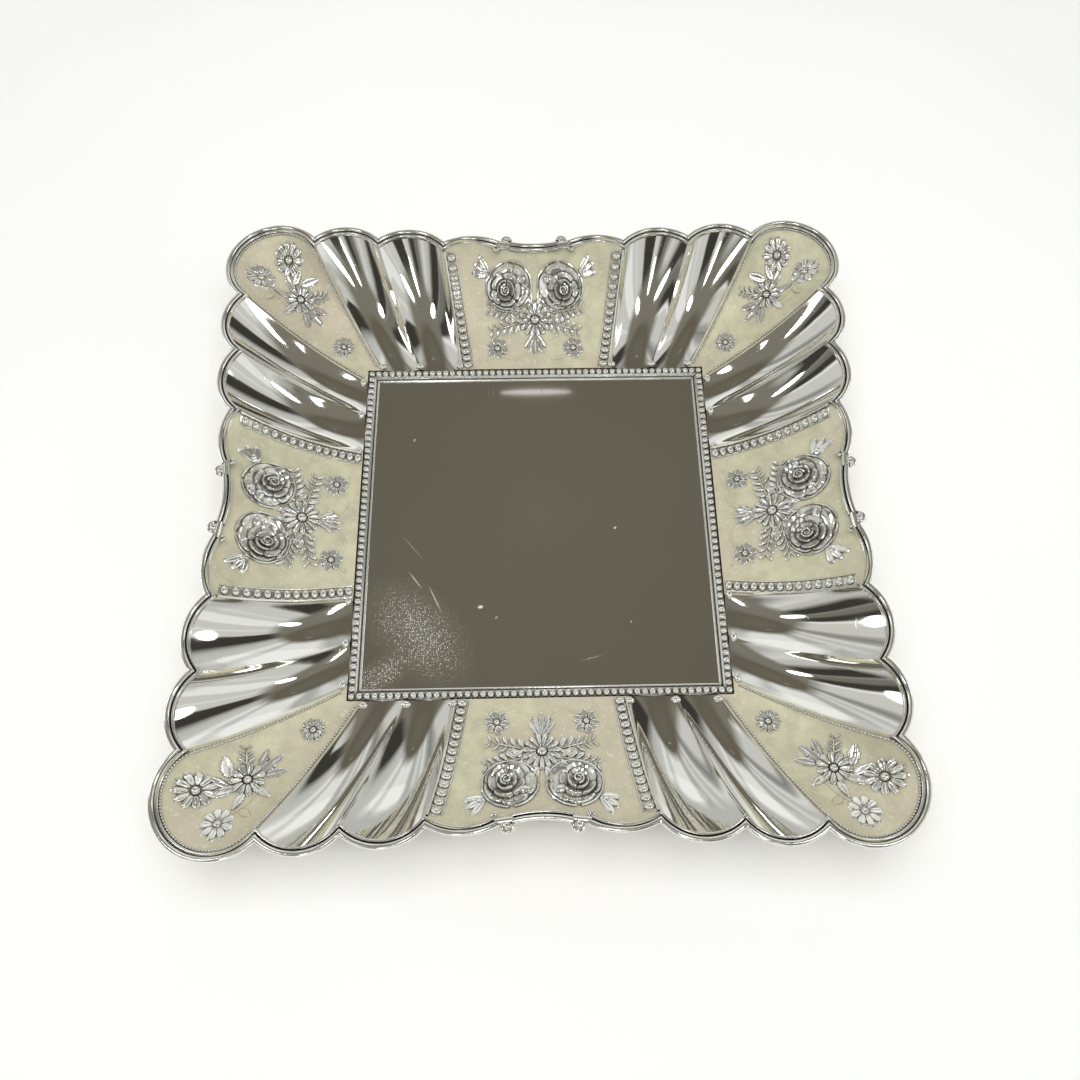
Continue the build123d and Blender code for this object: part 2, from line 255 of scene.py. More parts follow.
# Plan arcs

def mirrored(point):
    return (-point[0], point[1])


class Arc:
    """Plan arc through three points, with its outward side on the left of its direction."""

    def __init__(self, start, middle, end):
        a, b, c = [np.array(point, float) for point in (start, middle, end)]
        self.start, self.end = a, c
        matrix = 2 * np.array([b - a, c - a])
        self.centre = np.linalg.solve(matrix, [b @ b - a @ a, c @ c - a @ a])
        self.radius = np.linalg.norm(a - self.centre)
        chord = c - a
        outward = np.array([-chord[1], chord[0]])
        self.bulge = 1 if (b - a) @ outward > 0 else -1

    def angle(self, point):
        return math.atan2(point[1] - self.centre[1], point[0] - self.centre[0])

    def offset_points(self, offset, start, end, count):
        """Evenly spaced points between two ends, on the arc moved outward by an offset."""
        radius = self.radius + self.bulge * offset
        first, last = self.angle(start), self.angle(end)
        turn = -self.bulge
        sweep = (turn * (last - first)) % (2 * math.pi)
        angles = first + turn * np.linspace(0, sweep, count)
        return self.centre + radius * np.stack([np.cos(angles), np.sin(angles)], 1)


def corner_between(before, after, offset):
    """Where two neighbouring arcs, both moved outward by an offset, meet."""
    joint = before.end
    first = before.radius + before.bulge * offset
    second = after.radius + after.bulge * offset
    line = after.centre - before.centre
    distance = np.linalg.norm(line)
    line = line / distance
    reach = (distance ** 2 + first ** 2 - second ** 2) / (2 * distance)
    height = math.sqrt(max(first ** 2 - reach ** 2, 0.0))
    side = np.array([-line[1], line[0]])
    options = [before.centre + reach * line + sign * height * side for sign in (1, -1)]
    return min(options, key=lambda option: np.linalg.norm(option - joint))


def side_arcs():
    """Rim arcs of one side from left to right: three scallops, the hollow, three scallops."""
    right = [
        (SCALLOP_END, PANEL_CROWN, CUSPS[0]),
        (CUSPS[0], CROWNS[0], CUSPS[1]),
        (CUSPS[1], CROWNS[1], CUSPS[2]),
    ]
    left = [[mirrored(point) for point in reversed(arc)] for arc in reversed(right)]
    middle = [(mirrored(HOLLOW_END), (0, PANEL_HOLLOW), HOLLOW_END)]
    return [Arc(*points) for points in left + middle + right]


def spun(arc, degrees):
    angle = math.radians(degrees)
    spin = np.array([[math.cos(angle), -math.sin(angle)], [math.sin(angle), math.cos(angle)]])
    points = arc.offset_points(0, arc.start, arc.end, 3)
    return Arc(*(points @ spin.T))


SIDE_ARCS = side_arcs()
HOLLOW_ARC, PANEL_ARC, *FLUTE_ARCS = SIDE_ARCS[3:]
LOBE_ARC = Arc(mirrored(LOBE_CUSP), (0, LOBE_TIP), LOBE_CUSP)


# Border pressings

def flute_grid(index):
    """Top surface of one flute, from its root to the rim."""
    rows, columns = 57, 33
    t = np.linspace(0, 1, rows)[:, None]
    s = np.linspace(0, 1, columns)[None, :]
    arc = FLUTE_ARCS[index]
    left_root, right_root = SEAM_ROOTS[index], SEAM_ROOTS[index + 1]
    left, right = CUSPS[index], CUSPS[index + 1]
    x = between(between(left_root, left[0], t), between(right_root, right[0], t), s)
    chord = between(between(BORDER_ROOT, left[1], t), between(BORDER_ROOT, right[1], t), s)
    rim_x = between(left[0], right[0], s)
    rim_y = arc.centre[1] + np.sqrt(arc.radius ** 2 - (rim_x - arc.centre[0]) ** 2)
    crown = rim_y - between(left[1], right[1], s)
    from_left = np.sqrt(s ** 2 + RIDGE_ROUND ** 2) - RIDGE_ROUND
    from_right = np.sqrt((1 - s) ** 2 + RIDGE_ROUND ** 2) - RIDGE_ROUND
    bulge = 4 * from_left * from_right
    dip = FLUTE_ROOT_DIP * (1 - t) + FLUTE_MIDDLE_DIP * 4 * t * (1 - t)
    return np.stack(np.broadcast_arrays(x, chord + crown * t, dish(t) - dip * bulge), -1)


def panel_grid():
    """Top surface of a side panel, with columns that end at the knobs and scallops."""
    rows = 41
    width = CUSPS[0][0]
    scallop = np.linspace(SCALLOP_END[0], width, 15)
    right = np.concatenate([[HOLLOW_END[0], 0.5 * (HOLLOW_END[0] + SCALLOP_END[0])], scallop])
    hollow = np.linspace(-HOLLOW_END[0], HOLLOW_END[0], 13)[1:-1]
    rim_x = np.concatenate([-right[::-1], hollow, right])
    size = np.abs(rim_x)
    reach = np.minimum(size, HOLLOW_END[0])
    hollow_y = HOLLOW_ARC.centre[1] - np.sqrt(HOLLOW_ARC.radius ** 2 - reach ** 2)
    link_share = (size - HOLLOW_END[0]) / (SCALLOP_END[0] - HOLLOW_END[0])
    link_y = between(HOLLOW_END[1], SCALLOP_END[1], link_share)
    reach = np.maximum(size, SCALLOP_END[0]) - PANEL_ARC.centre[0]
    scallop_y = PANEL_ARC.centre[1] + np.sqrt(PANEL_ARC.radius ** 2 - reach ** 2)
    outer_y = np.where(size < SCALLOP_END[0], link_y, scallop_y)
    rim_y = np.where(size <= HOLLOW_END[0], hollow_y, outer_y)
    t = np.linspace(0, 1, rows)[:, None]
    x = rim_x / width * between(SEAM_ROOTS[0], width, t)
    y = between(BORDER_ROOT, rim_y, t)
    return np.stack([x, y, panel_height(x, y)], -1)


def lobe_grid():
    """Top surface of a corner lobe, fanned out from its notched root to its round rim."""
    rows, columns = 49, 41
    t = np.linspace(0, 1, rows)[:, None]
    s = np.linspace(-1, 1, columns)
    root = np.stack([s * LOBE_ROOT[0], between(LOBE_START, LOBE_ROOT[1], np.abs(s))], 1)
    rim = LOBE_ARC.offset_points(0, LOBE_ARC.start, LOBE_ARC.end, columns)
    plan = root[None] + t[..., None] * (rim - root)[None]
    return np.concatenate([plan, lobe_height(plan[..., 0], plan[..., 1])[..., None]], -1)


# Mouldings

def round_points(centre, radius, start, sweep, count):
    """Points that wind round a centre, from a start angle through a sweep, both in degrees."""
    angle = np.radians(start + np.linspace(0, sweep, count))
    return np.stack([centre[0] + radius * np.cos(angle), centre[1] + radius * np.sin(angle)], 1)


def rim_profile():
    """Section of the rim: a main roll outside, a groove and a smaller roll inside it."""
    outer_roll = round_points((1.3, 0.2), 1.1, -80, 285, 15)
    inner_roll = round_points((-0.7, -0.1), 0.55, -30, 220, 10)
    groove, foot = [(0.05, -0.9)], [(-1.2, -1.7), (0.5, -2.0)]
    return np.concatenate([outer_roll, groove, inner_roll, foot])


def arc_end(arc, point, offset):
    """Free end of an arc that was moved outward by an offset."""
    spoke = (point - arc.centre) / arc.radius
    return arc.centre + spoke * (arc.radius + arc.bulge * offset)


def rim_chunk(arcs, samples, before=None, after=None):
    """Rim moulding over a run of arcs, mitred to the arcs before and after it if there are any."""
    columns = []
    for offset, height in rim_profile():
        first = arc_end(arcs[0], arcs[0].start, offset)
        if before:
            first = corner_between(before, arcs[0], offset)
        last = arc_end(arcs[-1], arcs[-1].end, offset)
        if after:
            last = corner_between(arcs[-1], after, offset)
        inner = [corner_between(a, b, offset) for a, b in zip(arcs, arcs[1:])]
        joints = [first] + inner + [last]
        line = []
        for index, arc in enumerate(arcs):
            run = arc.offset_points(offset, joints[index], joints[index + 1], samples)
            line.append(run if index == 0 else run[1:])
        line = np.concatenate(line)
        columns.append(np.column_stack([line, np.full(len(line), RIM_Z + height)]))
    grid = np.stack(columns, 1)
    rows, around, _ = grid.shape
    faces = grid_faces(rows, around, wrap_columns=True)
    faces.append(tuple(reversed(range(around))))
    faces.append(tuple((rows - 1) * around + i for i in range(around)))
    return grid.reshape(-1, 3), faces


def curl(place, start, sweep, radii, wires, height):
    """Scroll end of the rim: a wire that winds round a place as it tapers."""
    count = 40
    plan = round_points(place, np.linspace(*radii, count), start, sweep, count)
    path = np.column_stack([plan, np.full(count, height)])
    return tube(path, np.linspace(*wires, count), 12)


def rim_side_chunk():
    """Rim of one side: a hollow between two knobs, with the scallops running up to them."""
    hollow = rim_chunk([HOLLOW_ARC], 25)
    scallops = rim_chunk([PANEL_ARC] + FLUTE_ARCS, 21, after=spun(LOBE_ARC, -45))
    share = np.linspace(-0.1, 1.1, 13)
    link = np.stack([between(HOLLOW_END[i], SCALLOP_END[i], share) for i in range(2)], 1)
    link = np.column_stack([link + (0.0, 0.7), np.full(len(share), RIM_Z - 0.3)])
    bridge = tube(link, 1.4, 12)
    knob = curl(KNOB, -165, -430, (2.0, 1.2), (1.15, 0.7), RIM_Z + 0.1)
    boss_top = ball((*KNOB, RIM_Z), ((1.7, 0, 0), (0, 1.7, 0), (0, 0, 1.25)))
    scroll = curl(SCROLL, 60, 340, (1.4, 0.5), (0.85, 0.55), RIM_Z - 0.7)
    parts = [hollow]
    for flip in (False, True):
        parts += [turned(part, 0, flip) for part in (scallops, bridge, knob, boss_top, scroll)]
    return merge(parts)


def rim_corner_chunk():
    before, after = spun(SIDE_ARCS[-1], 45), spun(SIDE_ARCS[0], -45)
    return rim_chunk([LOBE_ARC], 65, before, after)


def well_beading_chunk():
    """One mitred length: a stepped and rounded bar under a row of beads."""
    low, high = WELL_Z, WELL_Z + BEADING_HEIGHT
    section = [
        (WELL_HALF, low), (WELL_HALF + 0.15, low + 0.55), (WELL_HALF + 0.5, low + 0.9),
        (WELL_HALF + 0.95, low + 0.85), (WELL_HALF + 1.3, low + 0.5), (WELL_HALF + 1.65, low + 1.2),
        (WELL_HALF + 2.2, high), (BORDER_ROOT - 0.5, high), (BORDER_ROOT - 0.05, high - 0.6),
        (BORDER_ROOT - 0.05, low),
    ]
    ends = [np.array([(sign * y, y, z) for y, z in section]) for sign in (-1, 1)]
    count = len(section)
    faces = [tuple(range(count)), tuple(count + i for i in reversed(range(count)))]
    faces += [(i, i + count, (i + 1) % count + count, (i + 1) % count) for i in range(count)]
    bar = (np.concatenate(ends), faces)
    pitch = 2 * BEAD_LINE / BEAD_COUNT    # the next side's row starts where this one would go on
    bead = ball((-BEAD_LINE, BEAD_LINE, high), BEAD_RADIUS * np.eye(3), rings=6, segments=14, dome=True)
    beads = [(bead[0] + (pitch * i, 0, 0), bead[1]) for i in range(BEAD_COUNT)]
    return merge([bar] + beads)


def strip_centre(y):
    return between(*STRIP_LINE, (y - BORDER_ROOT) / (CUSPS[0][1] - BORDER_ROOT))


def panel_line(offset_from_strip, lift, count=40):
    """Points up a panel beside its bead strip."""
    y = np.linspace(BORDER_ROOT + 0.6, STRIP_END, count)
    x = strip_centre(y) + offset_from_strip
    base, normal = slope_frame(panel_height, x, y)
    return base + normal * lift


def panel_beading_chunk():
    heading = math.atan2(CUSPS[0][1] - BORDER_ROOT, STRIP_LINE[1] - STRIP_LINE[0])
    rows = np.linspace(BORDER_ROOT + 2.1, STRIP_END - 1.7, STRIP_BEADS)
    size = (1.6, 2.15, 1.45, 0.1)    # along the strip, across it, height and lift
    detail = {"rings": 7, "segments": 16, "dome": True}
    beads = [seated_bead(panel_height, strip_centre(y), y, heading, *size, **detail) for y in rows]
    y = np.linspace(BORDER_ROOT + 0.4, STRIP_END, 40)[:, None]
    x = strip_centre(y) + np.linspace(-1.3, 1.3, 5)[None, :]
    y = np.broadcast_to(y, x.shape)
    base, normal = slope_frame(panel_height, x, y)
    tape = shell(base + 0.15 * normal, 0.15)
    inner = tube(panel_line(-2.45, 0.15), 0.32)
    outer = tube(panel_line(2.8, 0.25), 0.6)
    return merge(beads + [tape, inner, outer])


def lobe_edge(inset, spacing):
    """Evenly spaced plan points that edge a lobe: up one seam, round the tip and back."""
    share = np.linspace(0.06, 1, 40)
    direction = np.array(LOBE_CUSP) - np.array(LOBE_ROOT)
    inward = np.array([-direction[1], direction[0]]) / np.linalg.norm(direction)
    seam = np.array(LOBE_ROOT) + share[:, None] * direction + inset * inward
    turn = LOBE_RADIUS - inset
    tip_angles = np.linspace(0.02, math.pi / 2, 30)
    tip = np.stack([turn * np.cos(tip_angles), LOBE_CENTRE + turn * np.sin(tip_angles)], 1)
    half = np.concatenate([seam[seam[:, 1] < tip[0, 1] - 0.5], tip])
    whole = np.concatenate([half, half[-2::-1] * np.array([-1, 1])])
    length = np.concatenate([[0], np.cumsum(np.linalg.norm(np.diff(whole, axis=0), axis=1))])
    stations = np.linspace(0, length[-1], int(length[-1] / spacing))
    return np.stack([np.interp(stations, length, whole[:, i]) for i in range(2)], 1)


def lobe_wire_chunk():
    """Milled wire: a fine row of grains on a thin wire."""
    plan = lobe_edge(WIRE_INSET, 1.25)
    base, normal = slope_frame(lobe_height, plan[:, 0], plan[:, 1])
    radius = 0.6
    grains = []
    for point, up in zip(base + 0.25 * normal, normal):
        side = np.cross(up, (0.0, 1.0, 0.0))
        side /= np.linalg.norm(side)
        axes = (side * radius, np.cross(up, side) * radius, up * radius)
        grains.append(ball(point, axes, rings=6, segments=8))
    wire = tube(base + 0.1 * normal, 0.35, 6)
    return merge(grains + [wire])


def ridge_pearls_chunk():
    """Rounded tips where the ridges meet the well beading."""
    y = BORDER_ROOT + 1.9
    parts = []
    for x in SEAM_ROOTS:
        height = dish((y - BORDER_ROOT) / (CUSPS[0][1] - BORDER_ROOT))
        axes = ((2.1, 0, 0), (0, 1.5, 0), (0, 0, 1.2))
        tip = ball((x, y, height + 0.1), axes, rings=8, segments=14)
        parts += [tip, turned(tip, 0, True)]
    one_side = merge(parts)
    return merge([turned(one_side, 90 * index) for index in range(4)])


# Relief ornament, in plan millimetres and height above the ground it stands on

SUNK = -0.25             # how far the edges of the relief go into the ground


def closed_relief(height_at, x, y, height):
    """Closed piece of relief from grids of plan points and heights above the ground."""
    rows, columns = x.shape
    base, normal = slope_frame(height_at, x, y)
    points = (base + height[..., None] * normal).reshape(-1, 3)
    loop = edge_loop(rows, columns)
    return points, grid_faces(rows, columns) + [tuple(reversed(loop))]


def blade(ground, x, y, turn, length, width, tall, taper=0.6, skew=1.0, groove=0.0, teeth=0, lift=0.0):
    """Petal or leaf, rooted at x, y and pointing turn degrees from +Y.

    Taper rounds its outline, skew moves its widest part, groove sinks a midrib and teeth notch its edges.
    """
    u = np.linspace(0.02, 0.98, 17 if teeth else 9)[:, None]
    v = np.linspace(-1, 1, 9 if groove else 7)[None, :]
    half = width / 2 * np.sin(math.pi * u ** skew) ** taper
    if teeth:
        half = half * (1 + 0.35 * ((u * teeth) % 1.0 - 0.5))
    crown = np.sqrt(np.maximum(1 - v ** 2, 0)) * np.sin(math.pi * u) ** 0.4
    height = (tall + lift) * crown - groove * np.exp(-(v / 0.3) ** 2) * np.sin(math.pi * u)
    height = np.where((np.abs(v) > 0.999) | (u < 0.03) | (u > 0.97), SUNK, height)
    angle = math.radians(turn)
    local_x, local_y = half * v, length * u + 0 * v
    plan_x = x + local_x * math.cos(angle) - local_y * math.sin(angle)
    plan_y = y + local_x * math.sin(angle) + local_y * math.cos(angle)
    return closed_relief(ground, plan_x, plan_y, height)


def cup(ground, x, y, middle, span, inner, outer, low, high, stretch=1.0):
    """Cupped rose petal: a sector round x, y that rises to a rolled lip."""
    angle = np.radians(middle + np.linspace(-span / 2, span / 2, 13))[None, :]
    edge = np.linspace(-1, 1, 13)[None, :]
    v = np.array([0, 0.2, 0.4, 0.6, 0.75, 0.87, 0.94, 1.0])[:, None]
    lip = np.array([0, 0.04, 0.15, 0.4, 0.75, 1.0, 0.8, 0])[:, None]
    radius = inner + (outer * (1 - 0.16 * edge ** 4) - inner) * v
    height = between(low, high, lip) * (1 - 0.35 * edge ** 4) + 0 * radius
    height = np.where((v > 0.99) | (np.abs(edge) > 0.99), SUNK, height)
    return closed_relief(ground, x + stretch * radius * np.sin(angle), y + radius * np.cos(angle), height)


def boss(ground, x, y, radius, tall, long=None, turn=0.0):
    """Domed button, round or long, with its flat base just under the ground."""
    size = (math.radians(turn), long or radius, radius, tall - SUNK)
    return seated_bead(ground, x, y, *size, SUNK, rings=6, segments=14, dome=True)


def rose(ground, x, y, radius, turn, stretch, hand):
    """Rose medallion: rings of rolled petals, each higher than the last, round a coiled heart."""
    angles = np.radians(np.linspace(0, 350, 60))
    ring = np.stack([x + stretch * radius * np.sin(angles), y + radius * np.cos(angles)], 1)
    parts = [laid_wire(ground, ring, 0.5, 0.35)]
    head_x, head_y = x + hand * 0.14 * radius, y - 0.10 * radius
    for centre, petals, inner, outer, low, high, broad in (
        ((x, y), 5, 0.50, 0.97, 0.0, 1.5, stretch),
        ((head_x, head_y), 5, 0.34, 0.72, 0.4, 2.1, 1.1),
        ((head_x, head_y), 3, 0.14, 0.46, 0.9, 2.5, 1.0),
    ):
        span = 1.12 * 360 / petals
        size = (inner * radius, outer * radius, low, high, broad)
        for index in range(petals):
            middle = hand * (turn + 360 * index / petals + 55 * petals * inner)
            parts.append(cup(ground, *centre, middle, span, *size))
    fold_x, fold_y = x - hand * 0.62 * radius, y + 0.28 * radius
    fold = boss(ground, fold_x, fold_y, 0.22 * radius, 1.9, 0.36 * radius, turn)
    coil_turns = np.linspace(0, 1.6 * 2 * math.pi, 50)
    coil_radius = np.linspace(0.24, 0.06, 50) * radius
    coil_x = head_x + coil_radius * np.sin(hand * coil_turns)
    coil_y = head_y + coil_radius * np.cos(coil_turns)
    coil = laid_wire(ground, np.stack([coil_x, coil_y], 1), np.linspace(0.5, 0.35, 50), 2.0)
    return parts + [fold, coil, boss(ground, head_x, head_y, 0.24 * radius, 1.8)]


def daisy(ground, x, y, radius, petals, tall, turn=0.0, heart=0.26):
    parts = []
    for index in range(petals):
        angle = turn + 360 * index / petals
        start = 0.18 * radius
        root_x = x - start * math.sin(math.radians(angle))
        root_y = y + start * math.cos(math.radians(angle))
        width = 2 * math.pi * radius / petals * 0.74
        size = (0.82 * radius, width, tall, 0.5, 1.35, 0.35 * tall)
        parts.append(blade(ground, root_x, root_y, angle, *size))
    parts.append(boss(ground, x, y, heart * radius, 1.35 * tall))
    return parts


def leaf(ground, x, y, turn, length, width, tall=0.9, teeth=5):
    return blade(ground, x, y, turn, length, width, tall, 0.75, 0.85, 0.5 * tall, teeth)


def fern(ground, x, y, turn, length, pairs, size):
    """Feathery spray: a stem with paired leaflets."""
    parts = [blade(ground, x, y, turn, length, 1.0, 0.7)]
    for index in range(pairs):
        share = (index + 0.6) / pairs
        stem_x = x - share * length * math.sin(math.radians(turn))
        stem_y = y + share * length * math.cos(math.radians(turn))
        for side in (-1, 1):
            reach = size * (1.15 - 0.5 * share)
            leaflet = (reach, 0.42 * reach, 1.0, 0.6, 1.2, 0.35)
            parts.append(blade(ground, stem_x, stem_y, turn + side * 48, *leaflet))
    return parts


def bud(ground, x, y, turn, size):
    """Half-open bud: three pointed sepals round a small boss."""
    sepal = (size, 0.36 * size, 1.0, 0.6, 1.1, 0.3)
    parts = [blade(ground, x, y, turn + lean, *sepal) for lean in (-24, 0, 24)]
    heart_x = x - 0.35 * size * math.sin(math.radians(turn))
    heart_y = y + 0.35 * size * math.cos(math.radians(turn))
    return parts + [boss(ground, heart_x, heart_y, 0.2 * size, 1.3)]


def rose_spray_chunk():
    ground = panel_height
    parts = []
    for sign, turn in ((-1, 25), (1, -10)):
        parts += rose(ground, sign * 12.6, 118.4, 9.4, turn, 1.17, sign)
        parts += daisy(ground, sign * 18.5, 92.0, 5.7, 6, 1.0, 15)
        parts += fern(ground, sign * 5.5, 107.5, -sign * 80, 17.5, 6, 6.0)
        parts += fern(ground, sign * 5.0, 104.5, -sign * 104, 17.0, 5, 5.8)
        parts += bud(ground, sign * 21.5, 123.6, -sign * 60, 9.5)
        parts.append(leaf(ground, sign * 1.5, 110.5, -sign * 14, 9.0, 3.2))
    for lean in (145, 162, 180, 198, 215):
        parts.append(leaf(ground, 0, 99.5, lean, 12.5 - 0.08 * abs(lean - 180), 3.2, 0.9, 4))
    parts += daisy(ground, 0, 105.0, 8.6, 15, 1.3)
    return merge(parts)


def flower_spray_chunk():
    ground = lobe_height
    parts = []
    for x, y, turn, length, width in (
        (-5.5, 167.0, 123, 9.6, 5.0),
        (-3.0, 169.0, 75, 8.0, 3.6),
        (-1.0, 167.0, 20, 9.5, 4.4),
        (2.5, 166.0, -25, 8.0, 3.6),
        (0.0, 158.0, 180, 12.0, 4.4),
        (-1.5, 157.0, 152, 9.0, 3.8),
        (2.0, 157.0, -150, 9.5, 4.0),
        (4.0, 162.0, -105, 7.5, 3.4),
    ):
        parts.append(leaf(ground, x, y, turn, length, width))
    parts += fern(ground, -4.5, 160.0, 128, 8.5, 3, 4.0)
    parts += daisy(ground, -9.0, 177.3, 7.6, 11, 1.25, 10)
    parts += daisy(ground, -0.8, 162.5, 7.2, 11, 1.3, 5)
    parts += daisy(ground, 6.8, 179.2, 6.6, 9, 0.75, 0)
    parts += daisy(ground, 0.0, 132.5, 5.6, 9, 0.95, 0)
    return merge(parts)


def panel_tracery():
    """Faint scrolls in the satin ground of a side panel, below the spray."""
    parts = []
    for sign in (-1, 1):
        for start, end, drop in (((4.0, 91.0), (13.0, 87.5), -2.2), ((13.0, 87.5), (24.0, 86.0), 1.6)):
            share = np.linspace(0, 1, 20)
            x = between(start[0], end[0], share)
            y = between(start[1], end[1], share) + drop * 4 * share * (1 - share)
            parts.append(laid_wire(panel_height, np.stack([sign * x, y], 1), 1.0, -0.55))
    return parts


def lobe_tracery():
    """Faint leaf and stem in the satin ground of a corner lobe."""
    share = np.linspace(0, 1, 24)
    stem = np.stack([between(6.5, 5.0, share) + 1.5 * np.sin(math.pi * share), between(175, 160, share)], 1)
    return [leaf(lobe_height, 7.5, 171.0, -110, 6.0, 3.2, 0.9), laid_wire(lobe_height, stem, 0.4, 0.05)]


# Materials

class Shader:
    """Node tree of a material or a world, with short ways to add the usual nodes."""

    def __init__(self, owner, surface, coordinate):
        owner.use_nodes = True
        self.nodes = owner.node_tree.nodes
        self.links = owner.node_tree.links
        self.surface = self.nodes[surface]
        self.place = self.nodes.new("ShaderNodeTexCoord").outputs[coordinate]

    def node(self, kind, inputs=None, **settings):
        made = self.nodes.new(kind)
        for key, value in settings.items():
            setattr(made, key, value)
        for key, value in (inputs or {}).items():
            if isinstance(value, bpy.types.NodeSocket):
                self.links.new(value, made.inputs[key])
            else:
                made.inputs[key].default_value = value
        return made

    def noise(self, scale, detail=4.0, stretch=(1, 1, 1), turn=0.0, roughness=0.5):
        mapping = self.node("ShaderNodeMapping", {
            "Vector": self.place, "Scale": stretch, "Rotation": (0, 0, turn)})
        return self.node("ShaderNodeTexNoise", {
            "Vector": mapping.outputs["Vector"], "Scale": scale, "Detail": detail,
            "Roughness": roughness}).outputs["Fac"]

    def ramp(self, value, low, high, start=0.0, end=1.0):
        return self.node("ShaderNodeMapRange", {
            "Value": value, "From Min": low, "From Max": high,
            "To Min": start, "To Max": end}).outputs["Result"]

    def math(self, operation, first, second):
        return self.node("ShaderNodeMath", {0: first, 1: second}, operation=operation).outputs[0]

    def blend(self, share, first, second, mode="MIX"):
        made = self.node("ShaderNodeMix", data_type="RGBA", blend_type=mode)
        for socket, value in ((made.inputs[0], share), (made.inputs[6], first), (made.inputs[7], second)):
            if isinstance(value, bpy.types.NodeSocket):
                self.links.new(value, socket)
            else:
                socket.default_value = value
        return made.outputs[2]

    def bump(self, height, strength, distance, normal=None):
        inputs = {"Height": height, "Strength": strength, "Distance": distance}
        if normal is not None:
            inputs["Normal"] = normal
        return self.node("ShaderNodeBump", inputs).outputs["Normal"]

    # Occlusion: low in creases and corners. The materials paint shade into their colour with it.
    def crease_shade(self, distance):
        return self.node("ShaderNodeAmbientOcclusion", {"Distance": distance}, samples=6).outputs["AO"]

    def feed(self, **sockets):
        for key, value in sockets.items():
            name = key.replace("_", " ")
            if isinstance(value, bpy.types.NodeSocket):
                self.links.new(value, self.surface.inputs[name])
            else:
                self.surface.inputs[name].default_value = value


def start_material(name):
    material = bpy.data.materials.new(name)
    return material, Shader(material, "Principled BSDF", "Object")


SILVER = (0.905, 0.895, 0.865, 1)
CLOUDED_SILVER = (0.87, 0.86, 0.82, 1)
WARM_SILVER = (0.86, 0.84, 0.76, 1)
TRIM_SILVER = (0.93, 0.93, 0.91, 1)
TRIM_FILM = (0.82, 0.80, 0.68, 1)
SCUFFED = (0.95, 0.93, 0.84, 1)
# Painted shade colour for the flutes' creases
FLUTE_CREASE_SHADE = (0.60, 0.55, 0.42, 1)
# Painted shade colour for the creases of the rim, beads and relief
TRIM_CREASE_SHADE = (0.07, 0.065, 0.05, 1)
CHAMPAGNE = (0.68, 0.66, 0.475, 1)
DEEP_CHAMPAGNE = (0.53, 0.51, 0.37, 1)
ROSY_CHAMPAGNE = (0.60, 0.53, 0.42, 1)
PALE_FLECK = (0.82, 0.81, 0.64, 1)
# Painted shade colour for the satin's corners and creases
SATIN_CREASE_SHADE = (0.24, 0.22, 0.15, 1)

# Marks in the well: x, y, turn in degrees, length, width and strength
WELL_MARKS = [
    (-46, -36, -65, 8, 0.4, 0.6), (-55, -27, -53, 6, 0.4, 0.6), (-57, -11, -50, 9, 0.3, 0.3),
    (35, -3, 0, 0.8, 0.7, 0.9), (-26, -40, 10, 1.6, 1.0, 0.9), (-19, -45, 60, 1.1, 0.7, 0.4),
    (22, -64, 15, 6, 0.2, 0.4), (-58, 44, 70, 1.0, 0.4, 0.6), (40, -48, 80, 0.7, 0.4, 0.6),
]


def scratches(shader, density):
    """Hairline scratches in several directions, from thin stretched noise."""
    total = None
    for turn, scale in ((0.3, 900), (1.25, 1100), (2.2, 800), (2.9, 1000)):
        line = shader.noise(scale, 2.0, (1, 0.012, 1), turn)
        line = shader.ramp(line, density, density + 0.05)
        total = line if total is None else shader.math("MAXIMUM", total, line)
    return total


def speckle(shader, scale, size, share):
    """Scattered round specks of mixed strength, in a share of the cells of a flat Voronoi pattern."""
    cells = shader.node("ShaderNodeTexVoronoi", {
        "Vector": shader.place, "Scale": scale}, voronoi_dimensions="2D")
    disc = shader.ramp(cells.outputs["Distance"], 0.6 * size, size, 1.0, 0.0)
    lot = shader.node("ShaderNodeSeparateColor", {"Color": cells.outputs["Color"]}).outputs[0]
    return shader.math("MULTIPLY", disc, shader.ramp(lot, 1.0 - share, 1.0, 0.0, 1.0))


def soft_spot(shader, x, y, turn, length, width):
    """Fades from 1 at a place on the well to 0 at the edge of an ellipse."""
    mapping = shader.node("ShaderNodeMapping", {
        "Vector": shader.place,
        "Location": (x * MM, y * MM, WELL_Z * MM),
        "Rotation": (0, 0, math.radians(turn)),
        "Scale": (length * MM, width * MM, 1)}, vector_type="TEXTURE")
    return shader.node("ShaderNodeTexGradient", {
        "Vector": mapping.outputs["Vector"]}, gradient_type="SPHERICAL").outputs["Fac"]


